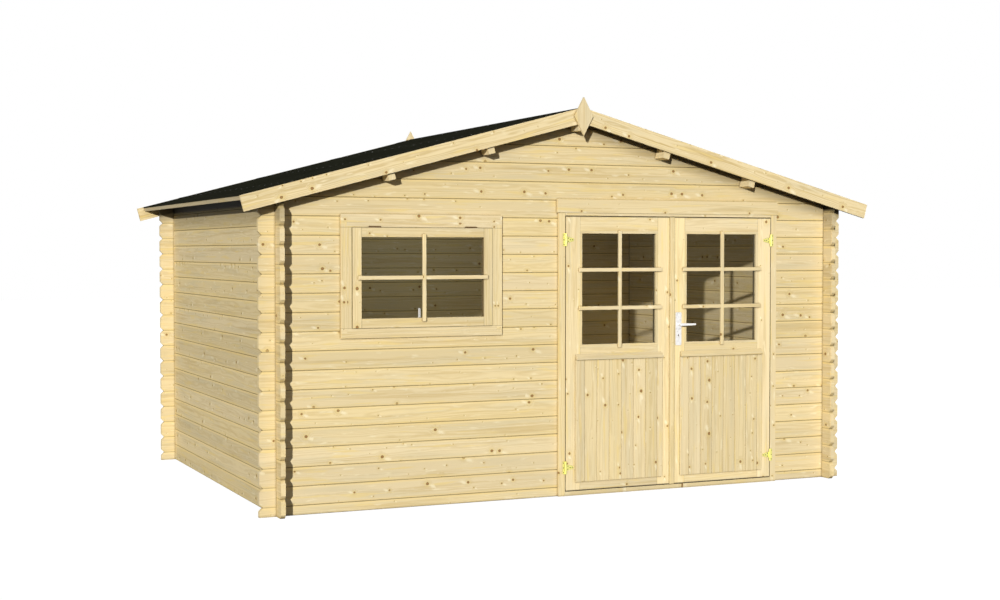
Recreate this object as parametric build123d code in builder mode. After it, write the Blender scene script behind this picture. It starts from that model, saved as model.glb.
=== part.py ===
from build123d import *
import os
from math import ceil, cos, radians, sin, tan

os.makedirs("parts", exist_ok=True)

# Log garden shed with a double door, a window and a gable roof.
# Millimetres. Origin on the ground at the middle of the walls' plan, +X right
# seen from the front, +Y to the back, +Z up.

# Walls
wall_width = 3904.0          # across the front, over the side walls' outer faces
wall_depth = 2760.0          # front to back, over the outer faces
log_height = 114.0           # one log, seam to seam
log_thickness = 28.0
log_overhang = 102.0         # log ends past the corners
end_chamfer = 22.0           # cut off the top and bottom of each log end
face_chamfer = 3.0           # V joint along the logs' long edges
tongue_width = 10.0
tongue_height = 6.0
tongue_taper = 1.0
groove_clearance = 1.0       # how much the groove is wider and deeper than the tongue
seam_gap = 0.3               # between one log and the next
joint_gap = 0.2              # between a log and what it crosses or meets
top_log_rise = 95.0          # bevelled top log, at the wall's outer face

# Roof
roof_pitch = 14.87
roof_board = 18.0
felt_thickness = 3.0
purlin_width = 44.0
purlin_depth = 115.0
purlin_spacing = 671.0       # along the slope, from the ridge
purlins_per_side = 2
gable_overhang = 111.0       # roof boards past the front wall's face
bargeboard_width = 95.0
bargeboard_thickness = 18.0
bargeboard_tail = 49.0       # bargeboard past the eaves strip, along the slope
eaves_overhang = 242.0       # bargeboard's top corner past the side wall
eaves_strip_depth = 30.0
eaves_strip_thickness = 15.0
finial_width = 128.0
finial_height = 240.0
finial_thickness = 16.0
finial_drop = 56.0           # middle of the finial under the bargeboards' peak

# Floor
floor_thickness = 26.0
floor_gap = 0.5

# Door opening and leaves
door_centre = 708.5
casing_width = 45.0          # face of a jamb, seen from the front
casing_projection = 18.0     # in front of the wall, and behind it
jamb_grip = 23.0             # how far the jambs' grooves take in the log ends
jamb_stop = 15.0             # rebate behind the leaves, past the jamb's face
sill_height = 28.0
head_height = 44.0
header_height = 85.0
header_thickness = 22.0
header_side = 10.0           # header past the jambs, each side
header_bottom_rise = 18.0    # header's lower edge over the frame head's
leaf_gap = 5.0
hinge_stile = 100.5
left_meeting_stile = 121.5   # its edge carries the meeting strip
right_meeting_stile = 75.0
meeting_gap = 7.5            # between the leaves, so that each one opens alone
leaf_height = 1747.0
leaf_thickness = 36.0
door_glass_width = 538.0
door_glass_bottom = 930.0    # above the leaf's lower edge
top_rail = 93.0
door_rail = 97.0             # bottom and middle rails
bead_width = 15.0
bead_thickness = 12.0
glass_thickness = 4.0
panel_side = 49.0            # panel past the glass, each side
panel_bottom = 52.0          # above the leaf's lower edge
panel_thickness = 10.0
drip_height = 37.0
drip_depth = 22.0
drip_side = 46.0             # drip board past the glass, each side
drip_nose = 15.0             # drip board's upright front, under its slope
drip_top = 871.0             # above the leaf's lower edge
strip_width = 32.0
strip_thickness = 10.0
seat_gap = 0.2               # between pieces that lie on each other

# Hinges and handle
hinge_height = 80.0
hinge_arm_height = 40.0
hinge_arm_length = 57.0
hinge_arm_tip = 16.0           # arm's height at its narrow end
hinge_plate_width = 14.0
hinge_plate = 2.4
knuckle_radius = 6.0
pin_radius = 2.5
pin_clearance = 0.2
knuckle_gap = 0.6
hinge_inset = 148.5          # hinge's middle from the leaf's lower or upper edge
plate_width = 44.0
plate_height = 216.0
plate_thickness = 4.0
plate_corner = 7.0
keyhole_drop = 72.0          # keyhole under the spindle
keyhole_radius = 5.0
keyhole_slot = 4.0
keyhole_length = 12.0
plate_centre = 1017.0        # above the leaf's lower edge
lever_axis = 1046.0          # above the leaf's lower edge
lever_backset = 27.5         # leaf's meeting edge to the spindle
lever_length = 111.0
lever_section = 18.0         # lever's height at the spindle
lever_tip = 13.0             # and at its tip
lever_thickness = 11.0
lever_chamfer = 2.5
lever_standoff = 30.0        # plate to the back of the lever
neck_radius = 9.0
spindle_radius = 4.0
spindle_clearance = 0.3

# Window
window_centre = -1030.5
sash_width = 909.0
sash_height = 601.0
sash_drop = 80.0             # sash's upper edge under the leaves'
sash_member = 56.0
sash_thickness = 34.0
sash_projection = 26.0       # in front of the wall
sash_gap = 3.0
sash_rebate = 10.0
lining_thickness = 30.0
lining_projection = 18.0     # behind the wall
trim_side = 67.0
trim_top = 77.0
trim_bottom = 58.0
trim_thickness = 18.0
window_hinge_inset = 103.0   # sash's side to the near end of its hinge
window_hinge_length = 77.0
window_hinge_depth = 24.0
catch_offset = -12.5         # catch from the window's middle
catch_width = 16.0
catch_height = 92.0
catch_thickness = 5.0
catch_rise = 21.0            # catch above the sash's lower edge
catch_base_width = 30.0
catch_base_height = 26.0
catch_base_depth = 9.0

# Worked out from the sizes above
half_width = wall_width / 2
half_depth = wall_depth / 2
front_face = -half_depth
half_seam = seam_gap / 2
lap = log_height / 4

door_glass_height = leaf_height - door_glass_bottom - bead_width - top_rail
glazed_width = door_glass_width + 2 * bead_width
left_leaf_width = hinge_stile + glazed_width + left_meeting_stile
right_leaf_width = hinge_stile + glazed_width + right_meeting_stile
leaf_bottom = sill_height + leaf_gap
leaf_top = leaf_bottom + leaf_height
head_bottom = leaf_top + leaf_gap
door_top = head_bottom + head_height
side_courses = ceil(door_top / log_height - 0.5)   # whole logs under the bevelled top log

angle = radians(roof_pitch)
roof_layers = roof_board + felt_thickness
eaves_underside = side_courses * log_height + top_log_rise
ridge_underside = eaves_underside + half_width * tan(angle)
ridge_top = ridge_underside + roof_layers / cos(angle)
slope_length = (half_width + eaves_overhang) / cos(angle)
board_end = slope_length - bargeboard_tail
front_courses = side_courses
front_top = (front_courses + 0.5) * log_height

door_half = (left_leaf_width + right_leaf_width + meeting_gap + 2 * leaf_gap) / 2
jamb_left = door_centre - door_half
jamb_right = door_centre + door_half
door_reach = door_half + jamb_grip
leaf_front = front_face - casing_projection
leaf_back = leaf_front + leaf_thickness

sash_top = leaf_top - sash_drop
sash_bottom = sash_top - sash_height
opening_left = window_centre - sash_width / 2 - sash_gap - lining_thickness
opening_right = window_centre + sash_width / 2 + sash_gap + lining_thickness
opening_bottom = sash_bottom - sash_gap - lining_thickness
opening_top = sash_top + sash_gap + lining_thickness


def save(piece, name):
    """Label a finished piece and write its STEP file."""
    piece.part.label = name
    export_step(piece.part, f"parts/{name}.step")


def block(low, high, mode=Mode.ADD):
    """A plain rectangular piece between two opposite corners."""
    middle = [(a + b) / 2 for a, b in zip(low, high)]
    size = [b - a for a, b in zip(low, high)]
    with Locations(tuple(middle)):
        return Box(*size, mode=mode)


def border(low, high, width, front, back):
    """Four boards round an opening given by its lower left and upper right corners."""
    for z_low, z_high in ((low[1] - width, low[1]), (high[1], high[1] + width)):
        block((low[0] - width, front, z_low), (high[0] + width, back, z_high))
    for x_low, x_high in ((low[0] - width, low[0]), (high[0], high[0] + width)):
        block((x_low, front, low[1] + seat_gap), (x_high, back, high[1] - seat_gap))


def log_section(height, grooved, tongued):
    """Outline of a log across its length: outer face first, then up the inside."""
    low = half_seam if grooved else 0.0
    high = height - half_seam
    middle = log_thickness / 2
    groove = (tongue_width + groove_clearance) / 2
    groove_top = low + tongue_height + groove_clearance
    tongue = tongue_width / 2
    inside = log_thickness - face_chamfer
    outline = [(0, low + face_chamfer), (face_chamfer, low)]
    if grooved:
        outline += [(middle - groove, low), (middle - groove + tongue_taper, groove_top)]
        outline += [(middle + groove - tongue_taper, groove_top), (middle + groove, low)]
    outline += [(inside, low), (log_thickness, low + face_chamfer)]
    outline += [(log_thickness, high - face_chamfer), (inside, high)]
    if tongued:
        outline += [(middle + tongue, high), (middle + tongue - tongue_taper, high + tongue_height)]
        outline += [(middle - tongue + tongue_taper, high + tongue_height), (middle - tongue, high)]
    outline += [(face_chamfer, high), (0, high - face_chamfer)]
    return outline


def corner_end(face, outward, height, grounded, roofed):
    """Outline, seen from outside, of a log's halved neck and the chamfered end past it."""
    neck = face - outward * (log_thickness + joint_gap)
    shoulder = face + outward * joint_gap
    tip = face + outward * log_overhang
    inner_tip = tip - outward * end_chamfer
    high = height - half_seam
    if grounded:
        outline = [(neck, 0), (tip, 0)]
    else:
        outline = [(neck, lap + half_seam), (shoulder, lap + half_seam), (shoulder, half_seam)]
        outline += [(inner_tip, half_seam), (tip, half_seam + end_chamfer)]
    if roofed:
        outline += [(tip, height), (neck, height)]
    else:
        outline += [(tip, high - end_chamfer), (inner_tip, high), (shoulder, high)]
        outline += [(shoulder, high - lap), (neck, high - lap)]
    return outline


def make_log(start, end, height=log_height, corners=(True, True),
             grooved=True, grounded=False, roofed=False):
    """One wall log along X, its outer face on Y = 0 and its underside on Z = 0."""
    inset = log_thickness + joint_gap
    body_start = start + (inset if corners[0] else 0)
    body_end = end - (inset if corners[1] else 0)
    with BuildPart() as log:
        with BuildSketch(Plane.YZ.offset(body_start)):
            with BuildLine():
                Polyline(*log_section(height, grooved and not grounded, not roofed), close=True)
            make_face()
        extrude(amount=body_end - body_start)
        for wanted, face, outward in ((corners[0], start, -1), (corners[1], end, 1)):
            if wanted:
                with BuildSketch(Plane.XZ):
                    with BuildLine():
                        Polyline(*corner_end(face, outward, height, grounded, roofed), close=True)
                    make_face()
                extrude(amount=-log_thickness)
    return log.part


def slope_point(side, along, rise):
    """A point of the roof seen from the front: along the slope, and square to it."""
    x = along * cos(angle) + rise * sin(angle)
    z = ridge_top - along * sin(angle) + rise * cos(angle)
    return (side * x, z)


def slope_board(side, top, bottom, end):
    """Outline of a board on one slope, plumb at the ridge and square at the eaves."""
    at_top = (half_seam - top * sin(angle)) / cos(angle)
    at_bottom = (half_seam - bottom * sin(angle)) / cos(angle)
    return [slope_point(side, at_top, top), slope_point(side, end, top),
            slope_point(side, end, bottom), slope_point(side, at_bottom, bottom)]


def add_prism(outline, start, length, mode=Mode.ADD):
    """Extrude an outline drawn in the front view from Y = start towards the back."""
    with BuildSketch(Plane.XZ.offset(-start)) as front_view:
        with BuildLine():
            Polyline(*outline, close=True)
        make_face()
    extrude(front_view.sketch, amount=-length, mode=mode)


def purlin_outlines(clearance):
    """The ridge purlin, upright, and the others square to the roof, seen from the front."""
    top = -roof_layers - seat_gap + clearance
    bottom = -roof_layers - seat_gap - purlin_depth - clearance
    side = purlin_width / 2 + clearance
    ridge_seat = ridge_underside - purlin_width / 2 * tan(angle) - seat_gap
    ridge_low = ridge_seat - purlin_depth - clearance
    outlines = [[(-side, ridge_low), (side, ridge_low),
                 (side, ridge_seat + clearance), (-side, ridge_seat + clearance)]]
    for slope in (-1, 1):
        for number in range(1, purlins_per_side + 1):
            middle = number * purlin_spacing
            corners = ((middle - side, bottom), (middle + side, bottom),
                       (middle + side, top), (middle - side, top))
            outlines.append([slope_point(slope, along, rise) for along, rise in corners])
    return outlines


def roof_void(reach, floor_level):
    """Outline of the space under the roof boards, from a level upwards."""
    drop = seat_gap / cos(angle)
    low_side = ridge_underside - reach * tan(angle) - drop
    return [(-reach, floor_level), (reach, floor_level), (reach, low_side),
            (0, ridge_underside - drop), (-reach, low_side)]


# Walls. Front and back start with half a log, the sides with a whole one, so
# the halved necks at the corners interlock.
front_bottoms = [(course + 0.5) * log_height for course in range(front_courses)]
side_bottoms = [course * log_height for course in range(side_courses)]
half_log = make_log(-half_width, half_width, log_height / 2, grounded=True)
cross_log = make_log(-half_width, half_width)
side_log = make_log(-half_depth, half_depth)
side_base_log = make_log(-half_depth, half_depth, grooved=False)

with BuildPart() as back_wall_logs:
    with Locations(Location((0, half_depth, 0), (0, 0, 180))):
        add(half_log)
    with Locations(*[Location((0, half_depth, z), (0, 0, 180)) for z in front_bottoms]):
        add(cross_log)
save(back_wall_logs, "back_wall_logs")

top_log = make_log(-half_depth, half_depth, top_log_rise + log_thickness, roofed=True)
for side, turn, name in ((-1, -90, "left_wall_logs"), (1, 90, "right_wall_logs")):
    with BuildPart() as side_wall_logs:
        with Locations(Location((side * half_width, 0, side_courses * log_height), (0, 0, turn))):
            add(top_log)
        wall_end = half_depth + log_overhang
        add_prism(roof_void(half_width + log_overhang, 0), -wall_end, 2 * wall_end, Mode.INTERSECT)
        with Locations(Location((side * half_width, 0, 0), (0, 0, turn))):
            add(side_base_log)
        with Locations(*[Location((side * half_width, 0, z), (0, 0, turn)) for z in side_bottoms[1:]]):
            add(side_log)
    save(side_wall_logs, name)

# Front wall: whole logs over the door, cut logs beside the door and the window
door_left = door_centre - door_reach
door_right = door_centre + door_reach
left_half_log = make_log(-half_width, door_left, log_height / 2, (True, False), grounded=True)
right_half_log = make_log(door_right, half_width, log_height / 2, (False, True), grounded=True)
left_log = make_log(-half_width, door_left, corners=(True, False))
right_log = make_log(door_right, half_width, corners=(False, True))
window_left_log = make_log(-half_width, opening_left - joint_gap, corners=(True, False))
window_right_log = make_log(opening_right + joint_gap, door_left, corners=(False, False))

beside_door = [z for z in front_bottoms if z + log_height <= door_top]
over_door = [z for z in front_bottoms if z + log_height > door_top]
beside_window = [z for z in beside_door if z >= opening_bottom and z + log_height <= opening_top]
clear_of_window = [z for z in beside_door if z + log_height <= opening_bottom or z >= opening_top]
notched = [z for z in beside_door if z not in beside_window + clear_of_window]


def cut_window_opening():
    """Cut the hole for the window's lining through the front wall."""
    block((opening_left - joint_gap, front_face - 1, opening_bottom - joint_gap),
          (opening_right + joint_gap, front_face + log_thickness + 1, opening_top + joint_gap),
          Mode.SUBTRACT)


with BuildPart() as front_wall_left_logs:
    with Locations((0, front_face, 0)):
        add(left_half_log)
    with Locations(*[(0, front_face, z) for z in clear_of_window]):
        add(left_log)
save(front_wall_left_logs, "front_wall_left_logs")

with BuildPart() as window_notched_logs:
    with Locations(*[(0, front_face, z) for z in notched]):
        add(left_log)
    cut_window_opening()
save(window_notched_logs, "window_notched_logs")

with BuildPart() as window_left_logs:
    with Locations(*[(0, front_face, z) for z in beside_window]):
        add(window_left_log)
save(window_left_logs, "window_left_logs")

with BuildPart() as window_right_logs:
    with Locations(*[(0, front_face, z) for z in beside_window]):
        add(window_right_log)
save(window_right_logs, "window_right_logs")

with BuildPart() as front_wall_right_logs:
    with Locations((0, front_face, 0)):
        add(right_half_log)
    with Locations(*[(0, front_face, z) for z in beside_door]):
        add(right_log)
save(front_wall_right_logs, "front_wall_right_logs")

with BuildPart() as door_lintel_logs:
    with Locations(*[(0, front_face, z) for z in over_door]):
        add(cross_log)
    block((door_left, front_face - 1, 0),
          (door_right, front_face + log_thickness + 1, door_top + joint_gap), Mode.SUBTRACT)
    cut_window_opening()
save(door_lintel_logs, "door_lintel_logs")

# Gables: logs between the side walls, cut to the roof and round the purlins
gable_half = half_width - log_thickness - joint_gap
gable_courses = ceil((ridge_underside - front_top) / log_height)
gable_log = make_log(-gable_half, gable_half, corners=(False, False))
with BuildPart() as front_gable_logs:
    with Locations(*[(0, front_face, front_top + course * log_height) for course in range(gable_courses)]):
        add(gable_log)
    add_prism(roof_void(half_width, front_top), front_face, log_thickness, Mode.INTERSECT)
    for outline in purlin_outlines(joint_gap):
        add_prism(outline, front_face - 1, log_thickness + 2, Mode.SUBTRACT)
save(front_gable_logs, "front_gable_logs")

with BuildPart() as back_gable_logs:
    add(front_gable_logs.part, rotation=(0, 0, 180))
save(back_gable_logs, "back_gable_logs")

# Roof
roof_start = front_face - gable_overhang
roof_length = wall_depth + 2 * gable_overhang
with BuildPart() as purlins:
    for outline in purlin_outlines(0):
        add_prism(outline, roof_start + seat_gap, roof_length - 2 * seat_gap)
save(purlins, "purlins")

strip_inner = board_end - eaves_strip_thickness
for side, word in ((-1, "left"), (1, "right")):
    with BuildPart() as roof_boards:
        boards = slope_board(side, -felt_thickness - seat_gap, -roof_layers, strip_inner - seat_gap)
        add_prism(boards, roof_start + seat_gap, roof_length - 2 * seat_gap)
    save(roof_boards, f"{word}_roof_boards")
    with BuildPart() as roof_felt:
        felt = slope_board(side, 0, -felt_thickness, board_end)
        add_prism(felt, roof_start + seat_gap, roof_length - 2 * seat_gap)
    save(roof_felt, f"{word}_roof_felt")

with BuildPart() as eaves_strips:
    for side in (-1, 1):
        strip_top = -felt_thickness - seat_gap
        corners = ((strip_inner, strip_top), (board_end, strip_top),
                   (board_end, strip_top - eaves_strip_depth),
                   (strip_inner, strip_top - eaves_strip_depth))
        strip = [slope_point(side, along, rise) for along, rise in corners]
        add_prism(strip, roof_start + seat_gap, roof_length - 2 * seat_gap)
save(eaves_strips, "eaves_strips")

with BuildPart() as bargeboards:
    for side in (-1, 1):
        board = slope_board(side, 0, -bargeboard_width, slope_length)
        add_prism(board, roof_start - bargeboard_thickness, bargeboard_thickness)
        add_prism(board, -roof_start, bargeboard_thickness)
save(bargeboards, "bargeboards")

finial_middle = ridge_top - finial_drop
finial_outline = [(-finial_width / 2, finial_middle), (0, finial_middle - finial_height / 2),
                  (finial_width / 2, finial_middle), (0, finial_middle + finial_height / 2)]
barge_face = roof_start - bargeboard_thickness - seat_gap
with BuildPart() as finials:
    add_prism(finial_outline, barge_face - finial_thickness, finial_thickness)
    add_prism(finial_outline, -barge_face, finial_thickness)
save(finials, "finials")

# Floor, cut back round the door frame
floor_x = half_width - log_thickness - floor_gap
floor_y = half_depth - log_thickness - floor_gap
frame_back = front_face + log_thickness + casing_projection
with BuildPart() as floor:
    block((-floor_x, -floor_y, 0), (floor_x, floor_y, floor_thickness))
    block((jamb_left - casing_width - floor_gap, -floor_y, 0),
          (jamb_right + casing_width + floor_gap, frame_back + floor_gap, floor_thickness),
          Mode.SUBTRACT)
save(floor, "floor")

# Door frame: grooved jambs that take in the log ends, a head, stops and a sill
stop_front = leaf_back + leaf_gap
wall_back = front_face + log_thickness
groove_end = joint_gap - jamb_grip
jamb_plan = [(-casing_width, leaf_front), (0, leaf_front), (0, frame_back), (-casing_width, frame_back),
             (-casing_width, wall_back + joint_gap), (groove_end, wall_back + joint_gap),
             (groove_end, front_face - joint_gap), (-casing_width, front_face - joint_gap)]
header_bottom = head_bottom + header_bottom_rise
with BuildPart() as door_frame:
    for face, inward in ((jamb_left, 1), (jamb_right, -1)):
        with BuildSketch(Plane.XY):
            with BuildLine():
                Polyline(*[(face + inward * x, y) for x, y in jamb_plan], close=True)
            make_face()
        extrude(amount=door_top)
    block((jamb_left + joint_gap, leaf_front, head_bottom), (jamb_right - joint_gap, frame_back, door_top))
    block((jamb_left - casing_width, leaf_front, header_bottom - seat_gap),
          (jamb_right + casing_width, front_face - joint_gap, door_top), Mode.SUBTRACT)
save(door_frame, "door_frame")

stop_left = jamb_left + jamb_stop
stop_right = jamb_right - jamb_stop
with BuildPart() as door_stops:
    for x_low, x_high in ((jamb_left + seat_gap, stop_left), (stop_right, jamb_right - seat_gap)):
        block((x_low, stop_front, sill_height + seat_gap), (x_high, frame_back, head_bottom - seat_gap))
    block((stop_left + seat_gap, stop_front, head_bottom - jamb_stop),
          (stop_right - seat_gap, frame_back, head_bottom - seat_gap))
save(door_stops, "door_stops")

with BuildPart() as door_sill:
    block((jamb_left + joint_gap, leaf_front, 0), (jamb_right - joint_gap, frame_back, sill_height))
save(door_sill, "door_sill")

with BuildPart() as door_header:
    block((jamb_left - casing_width - header_side, front_face - joint_gap - header_thickness, header_bottom),
          (jamb_right + casing_width + header_side, front_face - joint_gap, header_bottom + header_height))
save(door_header, "door_header")

# Door leaves. Each is worked out from its hinge edge, so that the right leaf
# is the left one's mirror image with a width of its own.
glass_axis = hinge_stile + glazed_width / 2
glass_low = leaf_bottom + door_glass_bottom
glass_high = glass_low + door_glass_height
rail_under_glass = glass_low - bead_width
rail_over_glass = glass_high + bead_width
glass_front = leaf_front + bead_thickness + seat_gap
glass_back = glass_front + glass_thickness
hinge_axis_y = leaf_front - seat_gap - knuckle_radius
spindle_z = leaf_bottom + lever_axis
lever_x = jamb_right - leaf_gap - right_leaf_width + lever_backset
spindle_hole = spindle_radius + spindle_clearance
keyhole_z = spindle_z - keyhole_drop


def leaf_block(edge, inward, low, high, mode=Mode.ADD):
    """A block of a leaf, its X measured from the hinge edge towards the meeting edge."""
    x_low, x_high = sorted((edge + inward * low[0], edge + inward * high[0]))
    block((x_low, low[1], low[2]), (x_high, high[1], high[2]), mode)


def y_bore(x, z, front, back, radius, mode=Mode.ADD):
    """A round bar or bore from front to back."""
    with Locations(Location((x, (front + back) / 2, z), (90, 0, 0))):
        Cylinder(radius, back - front, mode=mode)


# Boards planted on the leaves' faces
planted_back = leaf_front - seat_gap
drip_bottom = leaf_bottom + drip_top - drip_height
drip_section = [(planted_back, drip_bottom), (planted_back - drip_depth, drip_bottom),
                (planted_back - drip_depth, drip_bottom + drip_nose),
                (planted_back, drip_bottom + drip_height)]

# Each leaf: its name, hinge edge, direction towards the other leaf, and width
leaves = (("left", jamb_left + leaf_gap, 1, left_leaf_width),
          ("right", jamb_right - leaf_gap, -1, right_leaf_width))
for word, edge, inward, width in leaves:
    with BuildPart() as stiles:
        for low, high in ((0, hinge_stile - seat_gap), (hinge_stile + glazed_width + seat_gap, width)):
            leaf_block(edge, inward, (low, leaf_front, leaf_bottom), (high, leaf_back, leaf_top))
        if word == "right":
            y_bore(lever_x, spindle_z, leaf_front, leaf_back, spindle_hole, Mode.SUBTRACT)
            y_bore(lever_x, keyhole_z, leaf_front, leaf_back, keyhole_radius, Mode.SUBTRACT)
    save(stiles, f"{word}_door_stiles")

    with BuildPart() as rails:
        for low, high in ((leaf_bottom, leaf_bottom + door_rail),
                          (rail_under_glass - door_rail, rail_under_glass),
                          (rail_over_glass, leaf_top)):
            leaf_block(edge, inward, (hinge_stile, leaf_front, low),
                       (hinge_stile + glazed_width, leaf_back, high))
    save(rails, f"{word}_door_rails")

    glass_middle = edge + inward * glass_axis
    glass_side = door_glass_width / 2
    bead = bead_width - seat_gap
    with BuildPart() as beads:
        for front, back in ((leaf_front, glass_front - seat_gap), (glass_back + seat_gap, leaf_back)):
            border((glass_middle - glass_side, glass_low), (glass_middle + glass_side, glass_high),
                   bead, front, back)
    save(beads, f"{word}_door_beads")

    with BuildPart() as glass:
        block((glass_middle - glass_side - bead, glass_front, glass_low - bead),
              (glass_middle + glass_side + bead, glass_back, glass_high + bead))
    save(glass, f"{word}_door_glass")

    with BuildPart() as panel:
        block((glass_middle - glass_side - panel_side, planted_back - panel_thickness,
               leaf_bottom + panel_bottom),
              (glass_middle + glass_side + panel_side, planted_back, drip_bottom - seat_gap))
        with BuildSketch(Plane.YZ.offset(glass_middle - glass_side - drip_side)):
            with BuildLine():
                Polyline(*drip_section, close=True)
            make_face()
        extrude(amount=door_glass_width + 2 * drip_side)
    save(panel, f"{word}_door_panel")

with BuildPart() as meeting_strip:
    leaf_block(jamb_left + leaf_gap, 1,
               (left_leaf_width - strip_width, planted_back - strip_thickness, leaf_bottom),
               (left_leaf_width, planted_back, leaf_top))
save(meeting_strip, "meeting_strip")

# Hinges: the jamb carries a plate, the outer knuckles and the pin, and the
# leaf carries an arm and the middle knuckle
plate_front = planted_back - hinge_plate
hinge_heights = (leaf_bottom + hinge_inset, leaf_top - hinge_inset)
half_arm = hinge_arm_height / 2


def hinge_axis_x(edge, inward):
    return edge - inward * leaf_gap / 2


with BuildPart() as hinge_plates:
    for word, edge, inward, width in leaves:
        axis = hinge_axis_x(edge, inward)
        for z in hinge_heights:
            for knuckle in (-1, 1):
                low = half_arm + knuckle_gap
                length = hinge_height / 2 - low
                middle = z + knuckle * (low + length / 2)
                with Locations((axis, hinge_axis_y, middle)):
                    Cylinder(knuckle_radius, length)
                x_low, x_high = sorted((axis, axis - inward * (knuckle_radius + hinge_plate_width)))
                block((x_low, plate_front, middle - length / 2), (x_high, planted_back, middle + length / 2))
            x_low, x_high = sorted((axis - inward * (knuckle_radius + knuckle_gap),
                                    axis - inward * (knuckle_radius + hinge_plate_width)))
            block((x_low, plate_front, z - hinge_height / 2), (x_high, planted_back, z + hinge_height / 2))
            with Locations((axis, hinge_axis_y, z)):
                Cylinder(pin_radius, hinge_height)
save(hinge_plates, "door_hinge_plates")

for word, edge, inward, width in leaves:
    axis = hinge_axis_x(edge, inward)
    with BuildPart() as arms:
        for z in hinge_heights:
            with Locations((axis, hinge_axis_y, z)):
                Cylinder(knuckle_radius, hinge_arm_height)
            root = axis + inward * knuckle_radius
            tip = axis + inward * hinge_arm_length
            half_tip = hinge_arm_tip / 2
            with BuildSketch(Plane.XZ.offset(-planted_back)) as arm_outline:
                with BuildLine():
                    Polyline((axis, z - half_arm), (root, z - half_arm), (tip, z - half_tip),
                             (tip, z + half_tip), (root, z + half_arm), (axis, z + half_arm), close=True)
                make_face()
            extrude(arm_outline.sketch, amount=hinge_plate)
            with Locations((axis, hinge_axis_y, z)):
                Cylinder(pin_radius + pin_clearance, hinge_arm_height + 2, mode=Mode.SUBTRACT)
    save(arms, f"{word}_hinge_arms")

# Handle set on the right leaf: a plate on each face, and a lever on each side
# of one spindle
with BuildPart() as handle_plates:
    plate_middle = leaf_bottom + plate_centre
    for plate_face in (leaf_back + seat_gap, planted_back - plate_thickness):
        with BuildSketch(Plane.XZ.offset(-plate_face)):
            with Locations((lever_x, plate_middle)):
                RectangleRounded(plate_width, plate_height, plate_corner)
            with Locations((lever_x, spindle_z)):
                Circle(spindle_hole, mode=Mode.SUBTRACT)
            with Locations((lever_x, keyhole_z)):
                Circle(keyhole_radius, mode=Mode.SUBTRACT)
            with Locations((lever_x, keyhole_z - keyhole_length / 2)):
                Rectangle(keyhole_slot, keyhole_length, mode=Mode.SUBTRACT)
        extrude(amount=-plate_thickness)
save(handle_plates, "handle_plates")

with BuildPart() as door_lever:
    outside = planted_back - plate_thickness - seat_gap
    inside = leaf_back + plate_thickness + 2 * seat_gap
    tip_x = lever_x + lever_length - lever_tip / 2
    for face, outward in ((outside, -1), (inside, 1)):
        bar_back = face + outward * lever_standoff
        with BuildSketch(Plane.XZ.offset(-bar_back)):
            with Locations((lever_x, spindle_z)):
                Circle(lever_section / 2)
            with Locations((tip_x, spindle_z)):
                Circle(lever_tip / 2)
            make_hull()
        extrude(amount=-outward * lever_thickness)
        grip = edges().filter_by_position(Axis.Y, bar_back + outward * lever_thickness,
                                          bar_back + outward * lever_thickness)
        chamfer(grip, lever_chamfer)
        y_bore(lever_x, spindle_z, min(face, bar_back), max(face, bar_back), neck_radius)
    y_bore(lever_x, spindle_z, outside, inside, spindle_radius)
save(door_lever, "door_lever")

# Window: lining through the wall, trim on the wall's face, and a top-hung sash
sash_front = front_face - sash_projection
sash_back = sash_front + sash_thickness
lining_back = front_face + log_thickness + lining_projection
sash_left = window_centre - sash_width / 2
sash_right = window_centre + sash_width / 2
with BuildPart() as window_lining:
    border((sash_left - sash_gap, sash_bottom - sash_gap), (sash_right + sash_gap, sash_top + sash_gap),
           lining_thickness, front_face - trim_thickness, lining_back)
save(window_lining, "window_lining")

trim_back = front_face - seat_gap
with BuildPart() as window_trim:
    trim_low = sash_bottom - sash_gap - trim_bottom
    trim_high = sash_top + sash_gap + trim_top
    trim_left = sash_left - sash_gap - trim_side
    trim_right = sash_right + sash_gap + trim_side
    block((trim_left, trim_back - trim_thickness, opening_top + seat_gap),
          (trim_right, trim_back, trim_high))
    block((trim_left, trim_back - trim_thickness, trim_low),
          (trim_right, trim_back, opening_bottom - seat_gap))
    for x_low, x_high in ((trim_left, opening_left - seat_gap), (opening_right + seat_gap, trim_right)):
        block((x_low, trim_back - trim_thickness, opening_bottom), (x_high, trim_back, opening_top))
save(window_trim, "window_trim")

# Sash: two stiles with rails between them, a pane in the rebate and a bead behind it
pane_left = sash_left + sash_member
pane_right = sash_right - sash_member
pane_bottom = sash_bottom + sash_member
pane_top = sash_top - sash_member
pane_front = sash_front + sash_thickness / 2
pane_back = pane_front + glass_thickness
pane_margin = sash_rebate - seat_gap
with BuildPart() as window_sash:
    for x_low, x_high in ((sash_left, pane_left - seat_gap), (pane_right + seat_gap, sash_right)):
        block((x_low, sash_front, sash_bottom), (x_high, sash_back, sash_top))
    for z_low, z_high in ((sash_bottom, pane_bottom), (pane_top, sash_top)):
        block((pane_left, sash_front, z_low), (pane_right, sash_back, z_high))
    block((pane_left - sash_rebate, pane_front - seat_gap, pane_bottom - sash_rebate),
          (pane_right + sash_rebate, sash_back, pane_top + sash_rebate), Mode.SUBTRACT)
    border((pane_left, pane_bottom), (pane_right, pane_top), pane_margin, pane_back + seat_gap, sash_back)
save(window_sash, "window_sash")

with BuildPart() as window_glass:
    block((pane_left - pane_margin, pane_front, pane_bottom - pane_margin),
          (pane_right + pane_margin, pane_back, pane_top + pane_margin))
save(window_glass, "window_glass")

with BuildPart() as window_hinges:
    for x in (sash_left + window_hinge_inset, sash_right - window_hinge_inset - window_hinge_length):
        block((x, sash_front, sash_top + seat_gap),
              (x + window_hinge_length, sash_front + window_hinge_depth, sash_top + sash_gap - seat_gap))
save(window_hinges, "window_hinges")

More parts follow.
